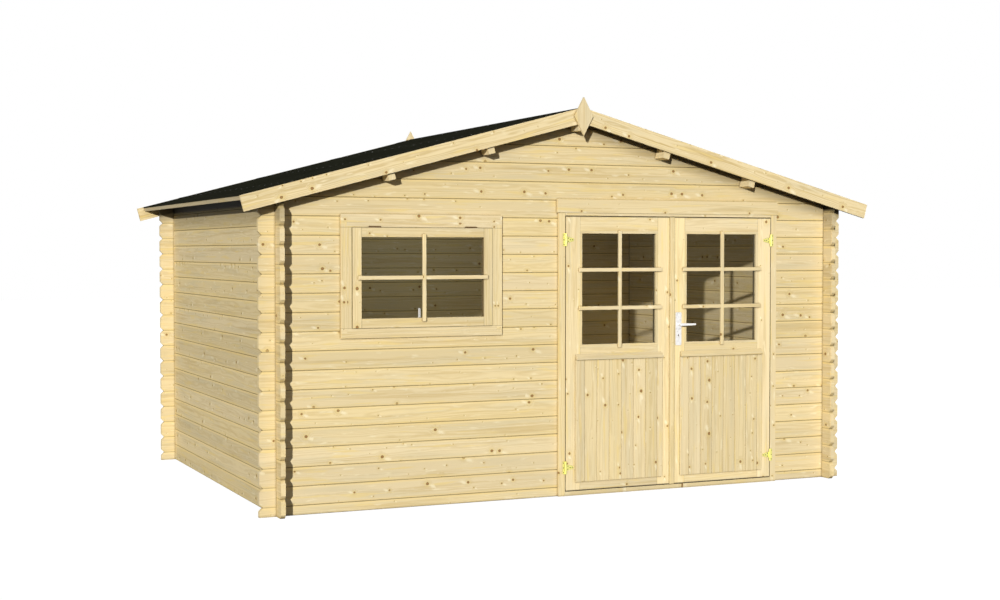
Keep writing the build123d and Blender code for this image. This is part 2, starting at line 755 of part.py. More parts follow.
catch_x = window_centre + catch_offset
catch_bottom = sash_bottom + catch_rise
catch_back = sash_back + seat_gap + catch_base_depth
with BuildPart() as window_catch:
    block((catch_x - catch_base_width / 2, sash_back + seat_gap, catch_bottom),
          (catch_x + catch_base_width / 2, catch_back, catch_bottom + catch_base_height))
    block((catch_x - catch_width / 2, catch_back, catch_bottom),
          (catch_x + catch_width / 2, catch_back + catch_thickness, catch_bottom + catch_height))
save(window_catch, "window_catch")
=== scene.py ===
from math import cos, pi, radians, sin, tan

import bmesh
import bpy
from bpy.props import FloatProperty, FloatVectorProperty, PointerProperty
from mathutils import Matrix, Vector


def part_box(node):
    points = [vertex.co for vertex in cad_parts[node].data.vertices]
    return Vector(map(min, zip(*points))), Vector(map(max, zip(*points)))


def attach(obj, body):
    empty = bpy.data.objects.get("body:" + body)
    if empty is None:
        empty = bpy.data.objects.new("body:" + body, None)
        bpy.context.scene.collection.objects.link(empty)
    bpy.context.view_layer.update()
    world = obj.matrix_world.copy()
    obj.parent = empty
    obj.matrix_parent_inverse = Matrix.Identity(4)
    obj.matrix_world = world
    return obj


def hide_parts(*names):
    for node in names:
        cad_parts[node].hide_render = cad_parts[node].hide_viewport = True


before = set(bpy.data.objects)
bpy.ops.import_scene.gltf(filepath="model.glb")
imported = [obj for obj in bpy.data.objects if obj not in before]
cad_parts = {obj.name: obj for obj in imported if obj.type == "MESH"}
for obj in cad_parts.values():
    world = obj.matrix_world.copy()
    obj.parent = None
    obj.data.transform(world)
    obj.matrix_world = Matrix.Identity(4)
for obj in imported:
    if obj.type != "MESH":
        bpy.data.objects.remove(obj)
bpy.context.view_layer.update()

bl_info = {
    "name": "Log shed finishing",
    "version": (1, 0, 0),
    "blender": (4, 5, 0),
    "location": "3D View > Sidebar > Shed",
    "description": "Dresses a log-built garden shed: timber, felt, glazing bars, boards and fittings",
    "category": "Object",
}


def box(node):
    """Lowest and highest corners of a CAD node."""
    low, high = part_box(node)
    return Vector(low), Vector(high)


def middle(node):
    """Middle of a CAD node's box."""
    low, high = box(node)
    return (low + high) / 2


# Settings

def length(name, description, default):
    return FloatProperty(name=name, description=description, default=default,
                         min=0.0, unit="LENGTH", precision=4)


def angle(name, description, degrees):
    return FloatProperty(name=name, description=description, default=radians(degrees),
                         subtype="ANGLE")


def plain_number(name, description, default):
    return FloatProperty(name=name, description=description, default=default)


def colour(name, description, default):
    return FloatVectorProperty(name=name, description=description, default=default,
                               size=3, min=0.0, max=1.0, subtype="COLOR")


class ShedTimberSettings(bpy.types.PropertyGroup):
    log_height: length("Log height", "Seam to seam", 0.114)
    ring_width: length("Ring width", "Growth rings in the timber", 0.0046)
    knot_spacing: length("Knot spacing", "Cell in which one knot may fall", 0.115)
    knot_radius: length("Knot radius", "Largest knot", 0.0105)
    wood: colour("Wood", "Early wood, planed and new", (0.82, 0.685, 0.43))
    late_wood: colour("Late wood", "Darker line of each growth ring", (0.56, 0.40, 0.15))
    warm_wood: colour("Warm wood", "Boards with more heartwood", (0.82, 0.64, 0.27))
    heart: colour("Heart", "Greyer band along the middle of a board", (0.69, 0.60, 0.39))
    flame: colour("Flame", "Pale wood beside the knots", (0.93, 0.83, 0.58))
    knot: colour("Knot", "Middle of a knot", (0.34, 0.17, 0.05))
    knot_rim: colour("Knot rim", "Dark bark line round a knot", (0.13, 0.06, 0.018))
    seam: colour("Seam", "Dust and shade in the joints between boards", (0.22, 0.145, 0.055))
    # painted shade: how far the occlusion node looks for corners and joints to darken
    shade_reach: length("Dust reach", "How far dust spreads out of a corner", 0.016)


class ShedBarSettings(bpy.types.PropertyGroup):
    upright: length("Upright width", "Width of the upright bars", 0.022)
    level: length("Level width", "Height of the level bars", 0.024)
    proud: length("Proud", "Bars in front of the leaf's face", 0.016)
    core: length("Core", "Thinner part of a bar, from the leaf's face to the glass", 0.008)
    bevel: length("Bevel", "Chamfer along the bars' front edges", 0.003)


class ShedBoardSettings(bpy.types.PropertyGroup):
    panel_pitch: length("Panel board", "Upright boards of the doors' lower panels", 0.0886)
    panel_first: length("First board", "Part board at the panels' left edge", 0.065)
    panel_thickness: length("Panel thickness", "Boards planted on the leaf", 0.010)
    panel_joint: length("Panel joint", "V joint between panel boards", 0.0026)
    drip_height: length("Drip height", "Weather board over each panel", 0.037)
    drip_side: length("Drip inset", "Panel past the weather board, each side", 0.003)
    roof_pitch: angle("Roof pitch", "Slope of the roof", 14.87)
    roof_board: length("Roof board", "Width of the roof's boards", 0.0904)
    roof_thickness: length("Roof board thickness", "Thickness of the roof's boards", 0.0178)
    floor_board: length("Floor board", "Width of the floor's boards", 0.1001)
    joint: length("Joint", "Chamfer at the joints of roof and floor boards", 0.002)


class ShedFeltSettings(bpy.types.PropertyGroup):
    felt: colour("Felt", "Mineral felt", (0.019, 0.020, 0.0135))
    lap_pitch: length("Lap pitch", "From one lap of the felt to the next, along the slope", 0.62)
    lap_width: length("Lap width", "Raised band at a lap", 0.09)
    lap_thickness: length("Lap thickness", "How far a lap stands up", 0.002)
    turned_down: length("Turned down", "Felt folded over the eaves strips", 0.009)
    ridge_width: length("Ridge strip", "Felt strip on each side of the ridge", 0.14)
    nail_spacing: length("Nail spacing", "Clout nails along the laps", 0.14)
    nail_radius: length("Nail head", "Radius of a clout nail's head", 0.005)


class ShedFittingSettings(bpy.types.PropertyGroup):
    screw_radius: length("Screw radius", "Heads of the hinge and plate screws", 0.0042)
    screw_height: length("Screw height", "Domed part of a screw head", 0.0016)
    zinc: colour("Yellow zinc", "Passivated hinges", (0.82, 0.77, 0.24))
    nickel: colour("Lever", "Door lever", (0.95, 0.95, 0.94))
    plate: colour("Plate", "Handle plates", (0.90, 0.89, 0.88))
    white: colour("White", "Window catch", (0.95, 0.95, 0.93))
    dark: colour("Dark metal", "Window hinges", (0.15, 0.085, 0.035))
    glass: colour("Glass", "Shade of the panes", (0.022, 0.018, 0.010))


class ShedStageSettings(bpy.types.PropertyGroup):
    camera: FloatVectorProperty(name="Camera", description="Where the camera stands",
                                default=(-4.4257, -10.0738, 1.5582), size=3, unit="LENGTH")
    turn: angle("Turn", "Camera's turn from the building's depth", 24.234)
    dip: angle("Dip", "How far the camera looks down", 1.822)
    lens: plain_number("Lens", "Focal length in millimetres", 55.11)
    sun_turn: angle("Key turn", "Key light, left of the front", 35.4)
    sun_height: angle("Key height", "Key light over the horizon", 10.4)
    sun: plain_number("Key", "Strength of the key light", 3.5)
    sky: plain_number("Fill", "Strength of the fill from all sides", 0.24)
    far_side: plain_number("Far side", "Light on the back and right walls", 1.9)
    room: plain_number("Room", "Soft light inside the building, in watts", 10.1)
    floor_size: length("Floor", "Side of the floor", 80.0)


# Materials

def by_node(operation, swapped=False):
    """A method that adds a Math node for an operation on two numbers."""
    def method(number, other):
        pair = (other, number) if swapped else (number, other)
        return number.tree.maths(operation, *pair)
    return method


class Number:
    """A number that a material works out at each point: arithmetic on it adds Math nodes."""

    def __init__(self, tree, socket):
        self.tree = tree
        self.socket = socket

    def __abs__(self):
        return self.tree.maths("ABSOLUTE", self)

    __add__ = by_node("ADD")
    __radd__ = by_node("ADD", swapped=True)
    __sub__ = by_node("SUBTRACT")
    __rsub__ = by_node("SUBTRACT", swapped=True)
    __mul__ = by_node("MULTIPLY")
    __truediv__ = by_node("DIVIDE")
    __pow__ = by_node("POWER")
    __gt__ = by_node("GREATER_THAN")
    __lt__ = by_node("LESS_THAN")


class Tree:
    """The nodes of a material or a world: adds nodes and joins them up."""

    def __init__(self, owner):
        owner.use_nodes = True
        self.nodes = owner.node_tree.nodes
        self.links = owner.node_tree.links

    def feed(self, socket, value):
        """Joins a worked-out value to a socket, or sets a plain one on it."""
        if isinstance(value, Number):
            value = value.socket
        if isinstance(value, bpy.types.NodeSocket):
            self.links.new(value, socket)
        else:
            socket.default_value = value

    def maths(self, operation, *values):
        node = self.nodes.new("ShaderNodeMath")
        node.operation = operation
        for socket, value in zip(node.inputs, values):
            self.feed(socket, value)
        return Number(self, node.outputs[0])

    def between(self, factor, first, second):
        """A number that goes from first to second as the factor goes from 0 to 1."""
        return factor * (second - first) + first

    def seen(self):
        """1 for a ray from the camera, or one that was reflected or passed through glass."""
        path = self.nodes.new("ShaderNodeLightPath").outputs
        direct = self.maths("MAXIMUM", path["Is Camera Ray"], path["Is Transmission Ray"])
        return self.maths("MAXIMUM", direct, path["Is Glossy Ray"])


class Recipe(Tree):
    """A material in the making, with the surface's colour so far."""

    def __init__(self, name, colour, roughness=0.5, metallic=0.0, specular=0.5):
        self.material = bpy.data.materials.new(name)
        super().__init__(self.material)
        self.shader = self.nodes["Principled BSDF"]
        self.shader.inputs["Roughness"].default_value = roughness
        self.shader.inputs["Metallic"].default_value = metallic
        self.shader.inputs["Specular IOR Level"].default_value = specular
        self.colour = colour

    def vector(self, x, y, z):
        node = self.nodes.new("ShaderNodeCombineXYZ")
        for socket, value in zip(node.inputs, (x, y, z)):
            self.feed(socket, value)
        return node.outputs[0]

    def parts(self, kind, socket):
        """The three numbers in a vector or a colour; kind is XYZ or Color."""
        node = self.nodes.new(f"ShaderNodeSeparate{kind}")
        self.links.new(socket, node.inputs[0])
        return [Number(self, output) for output in node.outputs]

    def surface(self, output):
        """The surface's place or normal, as the object has them."""
        return self.nodes.new("ShaderNodeTexCoord").outputs[output]

    def noise(self, vector, scale=1.0, detail=2.0, roughness=0.5):
        node = self.nodes.new("ShaderNodeTexNoise")
        self.feed(node.inputs["Vector"], vector)
        node.inputs["Scale"].default_value = scale
        node.inputs["Detail"].default_value = detail
        node.inputs["Roughness"].default_value = roughness
        return Number(self, node.outputs["Fac"])

    def random(self, value):
        """Three numbers between 0 and 1 that belong to one whole number."""
        node = self.nodes.new("ShaderNodeTexWhiteNoise")
        node.noise_dimensions = "1D"
        self.feed(node.inputs["W"], value)
        return self.parts("Color", node.outputs["Color"])

    def cells(self, x, y):
        """Offsets from the nearest cell's point along x and y, and three numbers of that cell."""
        node = self.nodes.new("ShaderNodeTexVoronoi")
        node.voronoi_dimensions = "2D"
        self.feed(node.inputs["Vector"], self.vector(x, y, 0.0))
        node.inputs["Scale"].default_value = 1.0
        node.inputs["Randomness"].default_value = 0.9
        spot = self.parts("XYZ", node.outputs["Position"])
        return x - spot[0], y - spot[1], self.parts("Color", node.outputs["Color"])

    def oval(self, x, y, half_length, half_width):
        """1 on the rim of an oval round the origin, less inside it."""
        return self.maths("SQRT", abs(x / half_length) ** 2.0 + abs(y / half_width) ** 2.0)

    def rise(self, value, low, high):
        """0 under low, 1 over high, and smooth between them."""
        node = self.nodes.new("ShaderNodeMapRange")
        node.interpolation_type = "SMOOTHSTEP"
        for name, number in (("Value", value), ("From Min", low), ("From Max", high)):
            self.feed(node.inputs[name], number)
        return Number(self, node.outputs[0])

    def fall(self, value, low, high):
        """1 under low, 0 over high, and smooth between them."""
        return 1.0 - self.rise(value, low, high)

    def blend(self, factor, first, second):
        """A colour that goes from first to second as the factor goes from 0 to 1."""
        node = self.nodes.new("ShaderNodeMix")
        node.data_type = "RGBA"
        self.feed(node.inputs[0], factor)
        for socket, value in ((node.inputs[6], first), (node.inputs[7], second)):
            self.feed(socket, value if isinstance(value, bpy.types.NodeSocket) else (*value, 1.0))
        return node.outputs[2]

    def stain(self, amount, colour):
        """Takes the surface's colour towards another one."""
        self.colour = self.blend(amount, self.colour, colour)

    def shade(self, tone, where=None):
        """Makes the surface lighter or darker by a tone, everywhere or as far as where is 1."""
        if where is not None:
            tone = self.between(where, 1.0, tone)
        node = self.nodes.new("ShaderNodeVectorMath")
        node.operation = "SCALE"
        self.links.new(self.colour, node.inputs[0])
        self.feed(node.inputs["Scale"], tone)
        self.colour = node.outputs[0]

    def corners(self, reach):
        """0 on open wood, near 1 in a corner or a joint, where shade falls; it drives painted shade.
        """
        node = self.nodes.new("ShaderNodeAmbientOcclusion")
        node.samples = 6
        node.inputs["Distance"].default_value = reach
        return 1.0 - Number(self, node.outputs["AO"])

    def finish(self, height=None, distance=0.0, strength=1.0):
        """Gives the shader its colour and, from a height, its bumps."""
        self.links.new(self.colour, self.shader.inputs["Base Color"])
        if height:
            node = self.nodes.new("ShaderNodeBump")
            node.inputs["Distance"].default_value = distance
            node.inputs["Strength"].default_value = strength
            self.feed(node.inputs["Height"], height)
            self.links.new(node.outputs[0], self.shader.inputs["Normal"])
        return self.material


def sorted_boards(place, centres):
    """Which of some boards a place falls on, and where on it, from the boards' middles."""
    index, offset = 0.0, centres[0]
    for before, after in zip(centres, centres[1:]):
        passed = place > (before + after) / 2
        index = passed + index
        offset = passed * (after - before) + offset
    return index, place - offset


def lie_on_roof(recipe, axes, slope):
    """Turns X and Z so that X runs down a roof's slope, apart on each side, and Z square to it."""
    side_apart = 9.0
    side = abs(axes["X"])
    down = side * cos(slope) + axes["Z"] * -sin(slope)
    axes["Z"] = side * sin(slope) + axes["Z"] * cos(slope)
    axes["X"] = recipe.maths("SIGN", axes["X"]) * side_apart + down


def knot_marks(recipe, run, local, deep, board, knots, figure):
    """Knots with their dark rims, the warm halo and pale flame beside each, and the grain's bend."""
    kit = bpy.context.scene.shed_timber
    cell = kit.knot_spacing
    beside, above, lot = recipe.cells(run / cell, board * 3.7 + local / cell)
    beside, above = beside * cell, above * cell
    present = lot[0] > 1.0 - 0.80 * knots
    radius = lot[1] ** (2.6 / figure) * (kit.knot_radius * 0.84) + kit.knot_radius * 0.16
    ragged = recipe.noise(recipe.vector(run, local, deep), scale=150.0, detail=1.0)
    ratio = recipe.oval(beside, above, radius * 1.12, radius) * (ragged * 0.6 + 0.70)
    inside = present * recipe.fall(ratio, 0.75, 1.05)
    # The flame lies to one side, over 3 knot radii away
    way = (lot[2] > 0.45) * 7.2 - 3.6
    flame = recipe.oval(radius * way + beside, radius * 0.7 + above + beside * 0.25,
                        radius * 3.6, radius * 1.5)
    flame = flame * (ragged * 1.4 + 0.3)
    return {"inside": inside, "rim": inside * recipe.rise(ratio, 0.40, 0.80),
            "halo": present * recipe.fall(ratio, 1.0, 2.6),
            "bend": present * recipe.fall(ratio, 0.9, 4.5),
            "flame": present * recipe.fall(flame, 0.15, 1.15)}


def late_rings(recipe, run, local, deep, board, chance, wobble, bend):
    """The dark lines of growth rings round a pith that wanders behind or before the board."""
    side = (chance[1] > 0.5) * 2.0 - 1.0
    pith_depth = side * (chance[2] * 0.07 + 0.035)
    sway = recipe.noise(recipe.vector(run * 0.9, board, 2.3), detail=1.0)
    pith_across = chance[1] * 0.08 - 0.04 + (sway * 0.09 - 0.045)
    reach = recipe.maths("SQRT", abs(deep - pith_depth) ** 2.0 + abs(local - pith_across) ** 2.0)
    reach = reach + wobble * 0.012 + bend * 0.010
    turns = reach * (2 * pi / bpy.context.scene.shed_timber.ring_width)
    return (recipe.maths("SINE", turns) * 0.5 + 0.5) ** 2.2


def painted_seam_light(recipe, local, pitch):
    """Painted highlight on each log's edges, warmer all round and brighter on the chamfer that looks
    up, and a dark joint of painted shade.
    """
    kit = bpy.context.scene.shed_timber
    edge = pitch / 2 - abs(local)
    rim = recipe.fall(edge, 0.006, 0.020)
    recipe.stain(rim * 0.40, kit.warm_wood)
    recipe.shade(1.08, where=rim * (local > 0.0))
    recipe.stain(recipe.fall(edge, 0.0012, 0.0042) * 0.45, kit.seam)


def timber(name, layout, depth, seed, pitch=0.0, start=0.0, centres=(0.0,),
           upright=None, upright_centres=(0.0,), seams=False, knots=1.0, tone=1.0, slope=0.0,
           lines=(), figure=1.0, bands=(), reveal=None, pane=None, under=1.0):
    """Planed pine cut from a tree: rings round a pith, knots, and each board its own.

    layout names the axes along the boards, over their width and through them, as in XZY,
    and depth is the boards' middle on the last. Boards are told apart by pitch and start,
    layout names the axes along the boards, over their width and through them, as in XZY,
    and depth is the boards' middle on the last. Boards are told apart by pitch and start,
    or by their middles. Where upright is given, as an axis, a middle, a half width and
    True for outside it, boards stand the other way there. With a slope, heights are taken
    square to a roof that falls both ways from the ridge. Each of lines is an axis and a
    place on it where two boards meet. figure strengthens the grain. Each of bands is an
    axis, where a change of tone starts, where it is full, and that tone; its axis R is the
    height of a roof's line carried up to the ridge. Corners and joints get painted shade;
    wood nearer the room than pane lies on the glass and gets none, and edges nearer than
    reveal get painted shade from the glass. under is the tone of faces that look down, a
    painted shade.
    """
    kit = bpy.context.scene.shed_timber
    recipe = Recipe(name, kit.wood, roughness=0.68, specular=0.12)
    axes = dict(zip("XYZ", recipe.parts("XYZ", recipe.surface("Object"))))
    if slope:
        lie_on_roof(recipe, axes, slope)
    along, width, through = (axes[axis] for axis in layout)
    if pitch:
        steps = (width - start) / pitch
        board = recipe.maths("FLOOR", steps)
        local = (recipe.maths("FRACT", steps) - 0.5) * pitch
    else:
        board, local = sorted_boards(width, centres)
    if upright:
        axis, centre, half, outside = upright
        away = abs(axes[axis] - centre)
        stands = away > half if outside else away < half
        other_board, other_local = sorted_boards(along, upright_centres)
        board = recipe.between(stands, board, other_board + 7.0)
        local = recipe.between(stands, local, other_local)
        along = recipe.between(stands, along, width)
    chance = recipe.random(board + float(seed))
    run = chance[0] * 23.0 + along
    deep = through - depth

    def drawn(stretch, packed, third, detail, roughness=0.5, shift=None):
        """Noise drawn out along the grain and packed across it."""
        place = local * packed if shift is None else local * packed + shift
        spot = recipe.vector(run * stretch, place, third)
        return recipe.noise(spot, detail=detail, roughness=roughness)

    knot = knot_marks(recipe, run, local, deep, board, knots, figure)
    wobble = drawn(3.0, 14.0, deep * 14.0, 3.0)
    late = late_rings(recipe, run, local, deep, board, chance, wobble, knot["bend"])
    streak = drawn(1.1, 34.0, deep * 34.0 + board, 4.0, roughness=0.6)
    fibre = drawn(26.0, 900.0, deep * 900.0, 2.0)
    cloud = drawn(1.6, 16.0, board, 2.0)
    dash = drawn(8.0, 42.0, deep, 3.0, shift=board)
    yellow = drawn(3.0, 32.0, board + 31.0, 3.0)

    knot_colour = recipe.blend(knot["rim"], kit.knot, kit.knot_rim)
    for amount, colour in ((chance[2] * 0.38, kit.warm_wood),
                           (recipe.rise(cloud, 0.46, 0.70) * 0.55, kit.heart),
                           (late * (0.28 * figure), kit.late_wood),
                           (recipe.rise(streak, 0.50, 0.70) * (0.42 * figure), kit.late_wood),
                           (recipe.rise(dash, 0.60, 0.74) * 0.55, kit.flame),
                           (recipe.rise(yellow, 0.56, 0.68) * 0.62, kit.warm_wood),
                           (knot["bend"] * 0.25, kit.late_wood),
                           (knot["flame"] * 0.75, kit.flame),
                           (knot["halo"] * 0.45, kit.warm_wood),
                           (knot["inside"] * 0.9, knot_colour)):
        recipe.stain(amount, colour)
    recipe.shade(chance[0] * 0.12 + (tone - 0.06) + (fibre * 0.08 - 0.04))
    if seams:
        painted_seam_light(recipe, local, pitch)
    for axis, place in lines:
        recipe.stain(recipe.fall(abs(axes[axis] - place), 0.0006, 0.0022) * 0.6, kit.seam)

    # Painted shade: corners and joints that the occlusion node finds are browned and, deepest in,
    # darkened.
    corner_shade = recipe.corners(kit.shade_reach)
    if pane:
        corner_shade = recipe.between(abs(axes["Y"]) < abs(pane), corner_shade, 0.0)
    recipe.stain(recipe.rise(corner_shade, 0.06, 0.70) * 0.85, kit.seam)
    recipe.shade(0.15, where=recipe.rise(corner_shade, 0.70, 0.97))
    for axis, clear, full, changed in bands:
        if axis == "R":
            place = abs(axes["X"]) * tan(bpy.context.scene.shed_board.roof_pitch) + axes["Z"]
        else:
            place = axes[axis]
        recipe.shade(changed, where=recipe.rise(abs(place), clear, full))
    normal = dict(zip("XYZ", recipe.parts("XYZ", recipe.surface("Normal"))))
    # Painted shade on faces that look down.
    if under < 1.0:
        recipe.shade(under, where=normal["Z"] < -0.8)
    # Painted shade on edges behind the glass.
    if reveal:
        recipe.shade(0.22, where=(abs(normal["Y"]) < 0.5) * (abs(axes["Y"]) < abs(reveal)))
    return recipe.finish(fibre * 0.5 + late * 0.4 + knot["inside"] * 0.7, 0.0005, 0.6)


def felt_material(name):
    """Mineral felt: near black, with pale grains and a few worn streaks."""
    kit = bpy.context.scene.shed_felt
    recipe = Recipe(name, kit.felt, roughness=0.95, specular=0.0)
    place = recipe.surface("Object")
    grains = recipe.noise(place, scale=900.0, detail=1.0)
    patches = recipe.noise(place, scale=2.6, detail=4.0)
    recipe.stain(recipe.rise(grains, 0.58, 0.74), [2.5 * part for part in kit.felt])
    recipe.shade(patches * 0.7 + 0.65)
    return recipe.finish(grains, 0.0008, 0.8)


def metal_material(name, colour, roughness, metallic=1.0, worn=(0.5, 0.5, 0.5), blotch=0.35):
    """Plated or cast metal with faint blotches, and fine marks in its gloss."""
    recipe = Recipe(name, tuple(colour), roughness=roughness, metallic=metallic)
    place = recipe.surface("Object")
    clouds = recipe.noise(place, scale=70.0, detail=4.0, roughness=0.6)
    marks = recipe.noise(place, scale=850.0, detail=2.0)
    recipe.stain(recipe.rise(clouds, 0.45, 0.8) * blotch, worn)
    recipe.feed(recipe.shader.inputs["Roughness"], marks * 0.18 + (roughness - 0.09))
    return recipe.finish(marks, 0.0001, 0.3)


def glass_material(name):
    """Clear panes: what is behind shows through, a little darker, under a thin gloss."""
    kit = bpy.context.scene.shed_fitting
    recipe = Recipe(name, kit.glass, roughness=0.03, specular=0.12)
    place = recipe.surface("Object")
    recipe.stain(recipe.noise(place, scale=3.5, detail=3.0), [1.6 * part for part in kit.glass])
    recipe.shader.inputs["Alpha"].default_value = 0.12
    return recipe.finish()


# Pieces

def chamfer(shape, edges, offset, segments=1):
    """Takes the sharpness off some edges of a bmesh."""
    bmesh.ops.bevel(shape, geom=edges, offset=offset, offset_type="OFFSET", segments=segments,
                    profile=0.5, affect="EDGES", material=-1)


def between_corners(shape, low, high, bevel=0.0, segments=1, keep=None):
    """Adds a box to a bmesh, with its edges bevelled, or only those that keep picks."""
    low, high = Vector(low), Vector(high)
    corners = bmesh.ops.create_cube(shape, size=1.0)["verts"]
    bmesh.ops.scale(shape, vec=high - low, verts=corners)
    bmesh.ops.translate(shape, vec=(low + high) / 2, verts=corners)
    edges = list({edge for corner in corners for edge in corner.link_edges})
    if keep:
        edges = [edge for edge in edges if keep(edge)]
    if bevel:
        chamfer(shape, edges, bevel, segments)


def only_corners(items):
    """The vertices among some items of a bmesh."""
    return [item for item in items if isinstance(item, bmesh.types.BMVert)]


def extrude(shape, ring, along):
    """Adds a prism to a bmesh, from a ring of corners carried along a vector."""
    face = shape.faces.new([shape.verts.new(corner) for corner in ring])
    made = bmesh.ops.extrude_face_region(shape, geom=[face])["geom"]
    bmesh.ops.translate(shape, vec=along, verts=only_corners(made))


def at_front(edge):
    """True for the edges of a new box's front face."""
    front = min(v.co.y for face in edge.link_faces for v in face.verts)
    return all(abs(v.co.y - front) < 1e-6 for v in edge.verts)


def add_object(name, data, place=(0.0, 0.0, 0.0)):
    """Adds an object to the scene."""
    item = bpy.data.objects.new(name, data)
    item.location = place
    bpy.context.scene.collection.objects.link(item)
    return item


def add_mesh(shape, name, material):
    """Turns a bmesh into an object of the scene."""
    mesh = bpy.data.meshes.new(name)
    shape.to_mesh(mesh)
    shape.free()
    mesh.materials.append(material)
    return add_object(name, mesh)


def finish_piece(shape, name, body, material, smooth=False):
    """Turns a bmesh into a piece that rides on a body, with its material."""
    bmesh.ops.recalc_face_normals(shape, faces=shape.faces)
    piece = add_mesh(shape, name, material)
    if smooth:
        piece.data.shade_smooth()
    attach(piece, body)
    return piece


def dress(node, material):
    """Gives a CAD node its material."""
    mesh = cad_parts[node].data
    mesh.materials.clear()
    mesh.materials.append(material)


def clad(node, layout, depth, seed, **settings):
    """Gives a CAD node timber of its own."""
    dress(node, timber(node, layout, depth, seed, **settings))


LEAVES = (("left", "left_door"), ("right", "right_door"))


class SHED_OT_walls(bpy.types.Operator):
    """Timber for the log walls and gables, each log its own"""
    bl_idname = "shed.walls"
    bl_label = "Log walls"

    def execute(self, context):
        height = context.scene.shed_timber.log_height
        front, back = middle("door_lintel_logs").y, middle("back_wall_logs").y
        side = box("right_wall_logs")[1].x
        eaves = box("eaves_strips")[0].z
        low, high = box("bargeboards")
        verge = low.z + high.x * tan(context.scene.shed_board.roof_pitch)
        # Painted shade: the gables darken towards the bargeboards' lower edge and much more just
        # beneath it; the log ends past the side walls are a little darker.
        gable_tone_and_shade = [("X", side, side + 0.004, 0.95), ("R", verge - 0.10, verge, 0.5),
                       ("R", verge - 0.022, verge + 0.008, 0.3)]
        walls = ((front, 10, ("front_wall_left", "window_notched", "door_lintel", "front_gable",
                              "window_left")),
                 (front, 61, ("window_right",)), (front, 112, ("front_wall_right",)),
                 (back, 163, ("back_wall", "back_gable")))
        for depth, seed, names in walls:
            for name in names:
                clad(f"{name}_logs", "XZY", depth, seed, pitch=height, start=-height / 2,
                     seams=True, bands=gable_tone_and_shade)
        # Painted shade: the side walls are a darker copy of the timber, darker again under the eaves
        # and nearly black just beneath them; the logs' end faces are lifted back to about full
        # brightness.
        for seed, node in ((214, "left_wall_logs"), (265, "right_wall_logs")):
            end = box(node)[1].y
            bands = [("Z", eaves - 0.20, eaves - 0.05, 0.66),
                     ("Z", eaves - 0.038, eaves - 0.008, 0.03),
                     ("Y", end - 0.012, end - 0.008, 1.20)]
            clad(node, "YZX", middle(node).x, seed, pitch=height, seams=True, tone=0.865,
                 bands=bands)
        return {"FINISHED"}


class SHED_OT_joinery(bpy.types.Operator):
    """Timber for the door frame, the leaves, the window and the finials"""
    bl_idname = "shed.joinery"
    bl_label = "Joinery timber"

    def execute(self, context):
        # The line at the header's foot is painted shade under the header.
        header_shade_line = ("Z", box("door_header")[0].z - 0.0005)
        self.frame_round("door_frame", 300, 0.045, 0.045, stiles=True, knots=0.8, tone=1.04,
                         ends=[header_shade_line])
        self.frame_round("door_stops", 310, 0.015, 0.015, stiles=True)
        low, high = box("window_sash")
        ends = [("Z", high.z + 0.0015), ("Z", low.z - 0.0015)]
        self.frame_round("window_trim", 320, 0.066, 0.06, knots=0.75, tone=1.06, ends=ends)
        self.frame_round("window_lining", 320, 0.032, 0.033, knots=0.2, tone=1.02, ends=ends)
        self.frame_round("window_sash", 340, 0.056, 0.056, stiles=True, knots=0.5, tone=1.03)
        clad("door_sill", "XYZ", box("door_sill")[1].z / 2, 350, centres=[middle("door_sill").y],
             tone=0.95)
        header = middle("door_header")
        clad("door_header", "XZY", header.y, 360, centres=[header.z], knots=0.8, tone=0.97)
        for seed, word in ((400, "left"), (450, "right")):
            self.leaf(word, seed)
        strip = middle("meeting_strip")
        clad("meeting_strip", "ZXY", strip.y, 480, centres=[strip.x], knots=0.6, tone=1.04)
        clad("finials", "ZXY", box("finials")[0].y, 490, knots=0.0, tone=1.06)
        return {"FINISHED"}

    def leaf(self, word, seed):
        """Timber for one door leaf: stiles, three rails, and beads round the pane."""
        node = f"{word}_door_stiles"
        low, high = box(node)
        half_stile = 0.05
        # Painted shade along the leaf's top and bottom edges, beside the gaps there.
        edge_shade_bands = [("Z", high.z - 0.006, high.z - 0.001, 0.4),
                ("Z", low.z + 0.006, low.z + 0.001, 0.4)]
        clad(node, "ZXY", middle(node).y, seed, knots=0.8, tone=1.18,
             centres=[low.x + half_stile, high.x - half_stile], bands=edge_shade_bands)
        node = f"{word}_door_rails"
        low, high = box(node)
        foot, lock, head = 0.048, 0.866, 0.046
        rails = [low.z + foot, low.z + lock, high.z - head]
        clad(node, "XZY", middle(node).y, seed + 10, knots=0.6, tone=1.03, centres=rails,
             lines=[("X", low.x), ("X", high.x)], bands=edge_shade_bands)
        self.frame_round(f"{word}_door_beads", seed + 20, 0.015, 0.015,
                         pane=box(f"{word}_door_glass")[1].y)

    def frame_round(self, node, seed, upright_width, level_height, stiles=False, knots=0.3,
                    tone=1.0, ends=(), pane=None):
        """Timber for four members round an opening; stiles run the full height."""
        low, high = box(node)
        centre = (low + high) / 2
        if stiles:
            upright = ("X", centre.x, (high.x - low.x) / 2 - upright_width, True)
        else:
            upright = ("Z", centre.z, (high.z - low.z) / 2 - level_height, False)
        rails = [low.z + level_height / 2, high.z - level_height / 2]
        sides = [low.x + upright_width / 2, high.x - upright_width / 2]
        joints = [low.x + upright_width, high.x - upright_width] if stiles else []
        lines = [("X", place) for place in joints] + list(ends)
        clad(node, "XZY", centre.y, seed, centres=rails, upright=upright, upright_centres=sides,
             knots=knots, tone=tone, lines=lines, pane=pane, reveal=pane)


